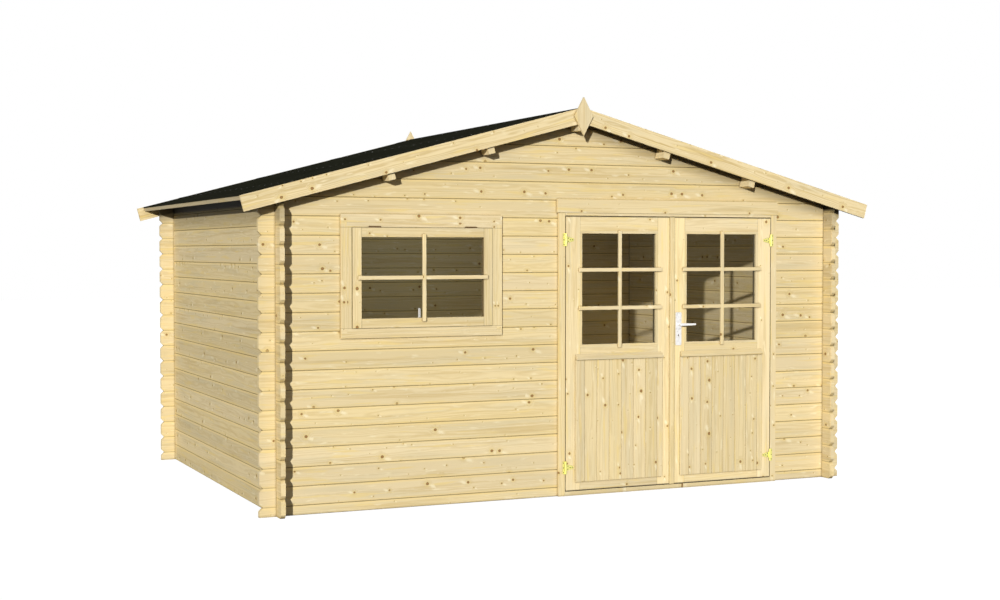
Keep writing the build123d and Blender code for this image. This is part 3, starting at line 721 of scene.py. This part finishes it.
class SHED_OT_roof_edges(bpy.types.Operator):
    """Timber for the bargeboards, eaves strips and purlins"""
    bl_idname = "shed.roof_edges"
    bl_label = "Roof edges"

    def execute(self, context):
        low, high = box("bargeboards")
        slope = context.scene.shed_board.roof_pitch
        half_width = 0.05
        spacing, height = 0.65, 2.2
        # Faces that look down on the bargeboards and eaves strips are darkened: painted shade.
        clad("bargeboards", "XZY", low.y, 507, tone=1.03, slope=slope,
             centres=[high.z * cos(slope) - half_width], knots=0.9, figure=1.8, under=0.2)
        clad("eaves_strips", "YXZ", box("eaves_strips")[0].z, 510, centres=[-1.0, 1.0], tone=0.66,
             under=0.2)
        clad("purlins", "YXZ", height, 520, tone=0.97,
             centres=[step * spacing for step in range(-2, 3)])
        return {"FINISHED"}


class SHED_OT_roof_boards(bpy.types.Operator):
    """Boards from ridge to eaves, under the felt"""
    bl_idname = "shed.roof_boards"
    bl_label = "Roof boards"

    def execute(self, context):
        kit = context.scene.shed_board
        slope = kit.roof_pitch
        wall = box("right_wall_logs")[1].x
        for side, word in ((-1, "left"), (1, "right")):
            node = f"{word}_roof_boards"
            low, high = box(node)
            near, far = sorted((abs(low.x), abs(high.x)))
            eaves = high.z - (far - near) * tan(slope)
            thickness = kit.roof_thickness
            count = round((high.y - low.y) / kit.roof_board)
            pitch = (high.y - low.y) / count
            profile = ((near, high.z), (far, eaves),
                       (far - thickness * sin(slope), eaves - thickness * cos(slope)),
                       (near, high.z - thickness / cos(slope)))
            shape = bmesh.new()
            extrude(shape, [(side * x, low.y, z) for x, z in profile], (0.0, pitch - 0.0004, 0.0))
            along = [edge for edge in shape.edges
                     if abs(edge.verts[0].co.x - edge.verts[1].co.x) > 0.5]
            chamfer(shape, along, kit.joint)
            first = list(shape.verts) + list(shape.edges) + list(shape.faces)
            for number in range(1, count):
                copy = bmesh.ops.duplicate(shape, geom=first)["geom"]
                bmesh.ops.translate(shape, vec=(0.0, number * pitch, 0.0), verts=only_corners(copy))
            # Painted shade: the roof boards are toned down, and nearly black past the walls' outer
            # faces, under the eaves.
            material = timber(f"{word}_roof_timber", "XYZ", 2.1, 530 + side * 20,
                              pitch=pitch, start=low.y, tone=0.74,
                              bands=[("X", wall - 0.02, wall + 0.06, 0.06)])
            piece = finish_piece(shape, f"{word}_roof_planks", "building", material)
            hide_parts(node)
        return {"FINISHED"}


class SHED_OT_floor_boards(bpy.types.Operator):
    """Boards from side to side, cut back round the door frame"""
    bl_idname = "shed.floor_boards"
    bl_label = "Floor boards"

    def execute(self, context):
        kit = context.scene.shed_board
        low, high = box("floor")
        door_low, door_high = box("door_frame")
        count = round((high.y - low.y) / kit.floor_board)
        pitch = (high.y - low.y) / count
        shape = bmesh.new()
        cut, split = 0.0005, 0.0006
        left, right = door_low.x - cut, door_high.x + cut
        for number in range(count):
            front = low.y + number * pitch
            back = front + pitch - split
            stretches = [(low.x, front, high.x)]
            if front < door_high.y:
                stretches = [(low.x, front, left), (left, door_high.y + cut, right),
                             (right, front, high.x)]
            for begin, face, end in stretches:
                between_corners(shape, (begin, face, low.z), (end, back, high.z), kit.joint)
        material = timber("floor_timber", "XYZ", high.z / 2, 570, pitch=pitch,
                          start=low.y, tone=0.94)
        piece = finish_piece(shape, "floor_planks", "building", material)
        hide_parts("floor")
        return {"FINISHED"}


class SHED_OT_felt(bpy.types.Operator):
    """Felt with raised laps, a ridge strip and clout nails"""
    bl_idname = "shed.felt"
    bl_label = "Roofing felt"

    def execute(self, context):
        kit = context.scene.shed_felt
        slope = context.scene.shed_board.roof_pitch
        material = felt_material("mineral_felt")
        nail_inset = 0.022
        nails = bmesh.new()
        laps = bmesh.new()
        for side, word in ((-1, "left"), (1, "right")):
            node = f"{word}_roof_felt"
            dress(node, material)
            low, high = box(node)
            reach = max(abs(low.x), abs(high.x)) / cos(slope)
            bands = [(0.0, kit.ridge_width)]
            edge = kit.lap_pitch
            while edge + kit.lap_width < reach:
                bands.append((edge, edge + kit.lap_width))
                edge += kit.lap_pitch
            turn = Matrix.Rotation(side * slope, 4, "Y")
            turn.translation = (0.0, 0.0, high.z)
            for start, end in bands:
                self.lap(laps, side, start, end, low.y, high.y, turn)
                self.nail_row(nails, side * (end - nail_inset), low.y, high.y, turn)
            strip = box("eaves_strips")[1]
            inner, outer = sorted((side * strip.x, side * (strip.x + kit.lap_thickness * 0.7)))
            between_corners(laps, (inner, low.y, strip.z - kit.turned_down),
                            (outer, high.y, strip.z - 0.0006))
        finish_piece(laps, "felt_laps", "building", material)
        steel = metal_material("weathered_nails", (0.05, 0.05, 0.05), 0.6)
        finish_piece(nails, "felt_nails", "building", steel)
        return {"FINISHED"}

    def lap(self, shape, side, start, end, front, back, turn):
        """A raised band of felt across a slope, thin along its upper edge."""
        thickness = bpy.context.scene.shed_felt.lap_thickness
        corners = bmesh.ops.create_cube(shape, size=1.0)["verts"]
        bmesh.ops.scale(shape, vec=(end - start, back - front, thickness), verts=corners)
        centre = (side * (start + end) / 2, (front + back) / 2, thickness / 2)
        bmesh.ops.translate(shape, vec=centre, verts=corners)
        uphill = [v for v in corners if abs(v.co.x) < start + 0.001 and v.co.z > 0]
        if start > 0:
            bmesh.ops.translate(shape, vec=(0.0, 0.0, -thickness * 0.9), verts=uphill)
        bmesh.ops.transform(shape, matrix=turn, verts=corners)

    def nail_row(self, shape, x, front, back, turn):
        """Flat nail heads in a row from front to back."""
        kit = bpy.context.scene.shed_felt
        count = int((back - front) / kit.nail_spacing)
        for number in range(count):
            y = front + (number + 0.5) * (back - front) / count
            place = Matrix.Translation((x, y, kit.lap_thickness + 0.0006))
            bmesh.ops.create_cone(shape, cap_ends=True, segments=10, radius1=kit.nail_radius,
                                  radius2=kit.nail_radius * 0.8, depth=0.0014,
                                  matrix=turn @ place)


class SHED_OT_panels(bpy.types.Operator):
    """Upright boards and a weather board on each leaf's lower half"""
    bl_idname = "shed.panels"
    bl_label = "Door panels"

    def execute(self, context):
        kit = context.scene.shed_board
        for seed, (word, body) in zip((600, 640), LEAVES):
            node = f"{word}_door_panel"
            low, high = box(node)
            front = high.y - kit.panel_thickness
            gap, split, nose = 0.0002, 0.0003, 0.4
            top = high.z - kit.drip_height - gap
            shape = bmesh.new()
            edges = [low.x, low.x + kit.panel_first]
            while edges[-1] + kit.panel_pitch < high.x:
                edges.append(edges[-1] + kit.panel_pitch)
            edges.append(high.x)
            for left, right in zip(edges, edges[1:]):
                between_corners(shape, (left + split, front, low.z), (right - split, high.y, top),
                                kit.panel_joint, keep=at_front)
            boards = timber(f"{word}_panel_timber", "ZXY", (front + high.y) / 2, seed,
                            pitch=kit.panel_pitch, start=low.x + kit.panel_first, knots=1.1,
                            tone=1.01)
            piece = finish_piece(shape, f"{word}_panel_boards", body, boards)
            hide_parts(node)

            shape = bmesh.new()
            foot = top + gap
            profile = ((high.y, foot), (low.y, foot), (low.y, foot + kit.drip_height * nose),
                       (high.y, high.z))
            extrude(shape, [(low.x + kit.drip_side, y, z) for y, z in profile],
                    (high.x - low.x - 2 * kit.drip_side, 0.0, 0.0))
            chamfer(shape, list(shape.edges), offset=0.0015, segments=2)
            wood = timber(f"{word}_drip_timber", "XZY", high.y, seed + 20,
                          centres=[high.z - 0.02], knots=0.4, tone=1.03)
            finish_piece(shape, f"{word}_weather_board", body, wood)
        return {"FINISHED"}


class SHED_OT_bars(bpy.types.Operator):
    """Glazing bars planted on the door leaves and the window"""
    bl_idname = "shed.bars"
    bl_label = "Glazing bars"

    def execute(self, context):
        leaf_margin, sash_margin = 0.0148, 0.0098
        ends = {"left": (0.026, 0.041), "right": (0.033, 0.036)}
        for seed, (word, body) in zip((700, 730), LEAVES):
            face = box(f"{word}_door_stiles")[0].y
            self.lattice(f"{word}_door_glass", leaf_margin, face, body, f"{word}_door_bars", seed,
                         rows=3, over=(*ends[word], 0.023, 0.018))
        self.lattice("window_glass", sash_margin, box("window_sash")[0].y, "building",
                     "window_bars", 760, rows=2, over=(0.023, 0.023, 0.022, 0.018))
        return {"FINISHED"}

    def lattice(self, glass, margin, face, body, name, seed, rows, over):
        """One upright bar and level bars between rows of like panes, planted on the face.

        margin is how far the frame covers the glass. A thinner core runs from each bar to the
        glass. over is how far the bars run past the opening to the left, right, foot and top.
        """
        kit = bpy.context.scene.shed_bar
        low, high = box(glass)
        left, right = low.x + margin, high.x - margin
        bottom, top = low.z + margin, high.z - margin
        centre = (left + right) / 2
        left_over, right_over, low_over, high_over = over
        half, level, core = kit.upright / 2, kit.level / 2, kit.core / 2
        gap, sunk, lift, apart, step_back = 0.0003, 0.002, 0.0002, 0.0004, 0.0006
        back = low.y - gap
        shape = bmesh.new()
        between_corners(shape, (centre - half, face - kit.proud, bottom - low_over),
                        (centre + half, face - lift, top + high_over), kit.bevel, 2, at_front)
        between_corners(shape, (centre - core, face - sunk, bottom + gap),
                        (centre + core, back, top - gap))
        for row in range(1, rows):
            z = bottom - level + row * (top - bottom + kit.level) / rows
            between_corners(shape, (left - left_over, face - kit.proud + step_back, z - level),
                            (right + right_over, face - lift, z + level), kit.bevel, 2, at_front)
            between_corners(shape, (left + gap, face - sunk, z - core),
                            (right - gap, back - apart, z + core))
        wood = timber(f"{name}_timber", "XZY", face, seed,
                      centres=[bottom, (bottom + top) / 2, top],
                      upright=("X", centre, half + 0.0002, False), upright_centres=[centre],
                      knots=0.25, tone=1.05, pane=low.y - 0.001)
        finish_piece(shape, name, body, wood)


class SHED_OT_fittings(bpy.types.Operator):
    """Hinges, handle set, window catch and hinges, panes, and all their screws"""
    bl_idname = "shed.fittings"
    bl_label = "Fittings and glass"

    def execute(self, context):
        kit = context.scene.shed_fitting
        zinc = metal_material("yellow_zinc", kit.zinc, 0.36, metallic=0.6, worn=(0.66, 0.56, 0.14))
        nickel = metal_material("satin_nickel", kit.nickel, 0.30, metallic=0.45,
                                worn=(0.80, 0.78, 0.78), blotch=0.5)
        cast = metal_material("cast_nickel", kit.plate, 0.42, metallic=0.35,
                              worn=(0.50, 0.47, 0.47), blotch=0.9)
        dark = metal_material("dark_steel", kit.dark, 0.5, metallic=0.6, worn=(0.02, 0.02, 0.02))
        glass = glass_material("clear_glass")
        for node in ("door_hinge_plates", "left_hinge_arms", "right_hinge_arms"):
            dress(node, zinc)
        dress("handle_plates", cast)
        dress("door_lever", nickel)
        dress("window_hinges", dark)
        for node in ("left_door_glass", "right_door_glass", "window_glass"):
            dress(node, glass)
        self.hinge_screws(zinc)
        self.plate_screws(nickel)
        self.window_knuckles(dark)
        self.window_catch()
        return {"FINISHED"}

    def screw(self, shape, x, face, z, outward, scale=1.0):
        """A domed head with a round recess, on a face that looks along Y."""
        kit = bpy.context.scene.shed_fitting
        sides = 16
        radius, height = kit.screw_radius * scale, kit.screw_height * scale
        place = Matrix.Translation((x, face + outward * height / 2, z))
        turn = Matrix.Rotation(radians(-90.0 * outward), 4, "X")
        made = bmesh.ops.create_cone(shape, cap_ends=True, segments=sides, radius1=radius,
                                     radius2=radius * 0.62, depth=height, matrix=place @ turn)
        faces = {side for corner in made["verts"] for side in corner.link_faces}
        tops = [side for side in faces if len(side.verts) == sides
                and (side.calc_center_median().y - face) * outward > height * 0.9]
        bmesh.ops.inset_region(shape, faces=tops, thickness=radius * 0.22, depth=0.0)
        bmesh.ops.translate(shape, vec=(0.0, -outward * height * 0.55, 0.0),
                            verts=list({corner for top in tops for corner in top.verts}))

    def hinge_screws(self, material):
        """Screws in the hinges' arms and plates, and the heads of their pins."""
        steel = metal_material("dark_screws", (0.10, 0.09, 0.05), 0.45, worn=(0.05, 0.04, 0.02))
        pin_inset, plate_depth, end_inset = 0.006, 0.0024, 0.02
        arm_holes = ((0.017, 0.010), (0.017, -0.010), (0.033, 0.0), (0.048, 0.0))
        plate_hole, plate_rises, pin_end = 0.0135, (-0.030, 0.0, 0.030), 0.0405
        for (word, body), toward in zip(LEAVES, (1.0, -1.0)):
            low, high = box(f"{word}_hinge_arms")
            axis = low.x + pin_inset if toward > 0 else high.x - pin_inset
            face = high.y - plate_depth
            arms, plates, pins = bmesh.new(), bmesh.new(), bmesh.new()
            for z in (low.z + end_inset, high.z - end_inset):
                for along, rise in arm_holes:
                    self.screw(arms, axis + toward * along, face, z + rise, -1.0, scale=0.85)
                for rise in plate_rises:
                    self.screw(plates, axis - toward * plate_hole, face, z + rise, -1.0, scale=0.8)
                for end in (-pin_end, pin_end):
                    self.pin_head(pins, axis, low.y + pin_inset, z + end)
            finish_piece(arms, f"{word}_arm_screws", body, steel)
            finish_piece(plates, f"{word}_plate_screws", "building", steel)
            finish_piece(pins, f"{word}_pin_heads", "building", material, smooth=True)

    def pin_head(self, shape, x, y, z):
        """A small dome on the end of a hinge pin."""
        made = bmesh.ops.create_uvsphere(shape, u_segments=16, v_segments=8, radius=0.0036,
                                         matrix=Matrix.Translation((x, y, z)))
        bmesh.ops.scale(shape, vec=(1.0, 1.0, 0.5), space=Matrix.Translation((-x, -y, -z)),
                        verts=made["verts"])

    def plate_screws(self, material):
        """Screws in the handle plates, on both faces of the leaf."""
        low, high = box("handle_plates")
        centre = (low.x + high.x) / 2
        inset = 0.014
        shape = bmesh.new()
        for z in (low.z + inset, high.z - inset):
            self.screw(shape, centre, low.y, z, -1.0)
            self.screw(shape, centre, high.y, z, 1.0)
        finish_piece(shape, "handle_screws", "right_door", material)

    def window_knuckles(self, material):
        """The rolled pins of the window's hinges, in front of the gap over the sash."""
        low, high = box("window_hinges")
        sash_low, sash_high = box("window_sash")
        width, radius, knuckles = 0.077, 0.0045, 3
        part = width / knuckles
        turn = Matrix.Rotation(radians(90.0), 4, "Y")
        shape = bmesh.new()
        for start in (low.x, high.x - width):
            for number in range(knuckles):
                place = Matrix.Translation((start + (number + 0.5) * part,
                                            sash_low.y + radius * 0.7, sash_high.z + radius))
                bmesh.ops.create_cone(shape, cap_ends=True, segments=20, radius1=radius,
                                      radius2=radius, depth=part - 0.0012, matrix=place @ turn)
        finish_piece(shape, "window_knuckles", "building", material)

    def window_catch(self):
        """A plastic base with a lever that stands up from it, held by two screws."""
        low, high = box("window_catch")
        centre = (low.x + high.x) / 2
        base_depth, base_height, half, screw_side = 0.009, 0.026, 0.008, 0.0098
        base = low.y + base_depth
        shape = bmesh.new()
        between_corners(shape, low, (high.x, base, low.z + base_height), bevel=0.003, segments=3)
        between_corners(shape, (centre - half, base, low.z), (centre + half, high.y, high.z),
                        bevel=0.0022, segments=3)
        for across in (-screw_side, screw_side):
            self.screw(shape, centre + across, base, low.z + base_height / 2, 1.0, scale=0.7)
        white = metal_material("white_plastic", bpy.context.scene.shed_fitting.white, 0.4,
                               metallic=0.0, worn=(0.90, 0.90, 0.87), blotch=0.2)
        piece = finish_piece(shape, "window_lever", "building", white)
        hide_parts("window_catch")


class SHED_OT_stage(bpy.types.Operator):
    """Floor, backdrop, lights and the camera"""
    bl_idname = "shed.stage"
    bl_label = "Stage"

    def execute(self, context):
        kit = context.scene.shed_stage
        scene = context.scene
        camera = add_object("camera", bpy.data.cameras.new("camera"), kit.camera)
        camera.data.lens = kit.lens
        camera.data.sensor_width = 36.0
        camera.data.clip_end = 200.0
        camera.rotation_euler = (radians(90.0) - kit.dip, 0.0, -kit.turn)
        scene.camera = camera

        down, flat = -sin(kit.sun_height), cos(kit.sun_height)
        key_aim = (sin(kit.sun_turn) * flat, cos(kit.sun_turn) * flat, down)
        self.sun("key", kit.sun, spread=1.0, aim=key_aim, place=(-8.0, -12.0, 5.0),
                 colour=(1.0, 0.985, 0.95))
        self.sun("far_side", kit.far_side, spread=12.0, aim=(-0.62, -0.66, -0.42),
                 place=(8.0, 9.0, 6.0))

        room = add_object("room", bpy.data.lights.new("room", "POINT"), (-0.1, 0.1, 1.75))
        room.data.energy = kit.room
        room.data.shadow_soft_size = 0.35
        room.data.color = (0.76, 0.90, 1.0)
        room.visible_camera = False

        shape = bmesh.new()
        bmesh.ops.create_grid(shape, x_segments=1, y_segments=1, size=kit.floor_size / 2)
        sheet = add_mesh(shape, "floor_sheet", self.floor_material())
        self.world(scene, kit)
        scene.view_settings.view_transform = "Standard"
        return {"FINISHED"}

    def sun(self, name, strength, spread, aim, place, colour=(1.0, 1.0, 1.0)):
        """A lamp that shines along aim, its disc spread over some degrees."""
        lamp = add_object(name, bpy.data.lights.new(name, "SUN"), place)
        lamp.data.energy = strength
        lamp.data.angle = radians(spread)
        lamp.data.color = colour
        lamp.rotation_euler = Vector(aim).to_track_quat("-Z", "Y").to_euler()

    def floor_material(self):
        """A pale floor that keeps the object's shadow and looks white to the camera."""
        recipe = Recipe("pale_floor", None, roughness=0.95, specular=0.1)
        white = 0.965
        inputs = recipe.shader.inputs
        inputs["Base Color"].default_value = (0.08, 0.08, 0.08, 1.0)
        inputs["Emission Color"].default_value = (1.0, 1.0, 1.0, 1.0)
        recipe.feed(inputs["Emission Strength"], recipe.seen() * white)
        return recipe.material

    def world(self, scene, kit):
        """Even light from all sides, in front of a white background."""
        scene.world = bpy.data.worlds.new("studio")
        tree = Tree(scene.world)
        light = tree.nodes["Background"].inputs
        light["Color"].default_value = (1.0, 1.0, 1.0, 1.0)
        tree.feed(light["Strength"], tree.between(tree.seen(), kit.sky, 1.0))


STEPS = ("stage", "walls", "joinery", "roof_edges", "roof_boards", "floor_boards", "felt",
         "panels", "bars", "fittings")


class SHED_PT_builder(bpy.types.Panel):
    """Lists the shed's finishing steps"""
    bl_idname = "SHED_PT_builder"
    bl_label = "Log shed"
    bl_space_type = "VIEW_3D"
    bl_region_type = "UI"
    bl_category = "Shed"

    def draw(self, context):
        for step in STEPS:
            self.layout.operator(f"shed.{step}")


GROUPS = {"shed_timber": ShedTimberSettings, "shed_bar": ShedBarSettings,
          "shed_board": ShedBoardSettings, "shed_felt": ShedFeltSettings,
          "shed_fitting": ShedFittingSettings, "shed_stage": ShedStageSettings}
CLASSES = (*GROUPS.values(), SHED_OT_stage, SHED_OT_walls, SHED_OT_joinery, SHED_OT_roof_edges,
           SHED_OT_roof_boards, SHED_OT_floor_boards, SHED_OT_felt, SHED_OT_panels, SHED_OT_bars,
           SHED_OT_fittings, SHED_PT_builder)


def register():
    for item in CLASSES:
        bpy.utils.register_class(item)
    for name, group in GROUPS.items():
        setattr(bpy.types.Scene, name, PointerProperty(type=group))


def unregister():
    for name in GROUPS:
        delattr(bpy.types.Scene, name)
    for item in reversed(CLASSES):
        bpy.utils.unregister_class(item)


def main():
    register()
    for step in STEPS:
        getattr(bpy.ops.shed, step)()


if __name__ == "__main__":
    main()
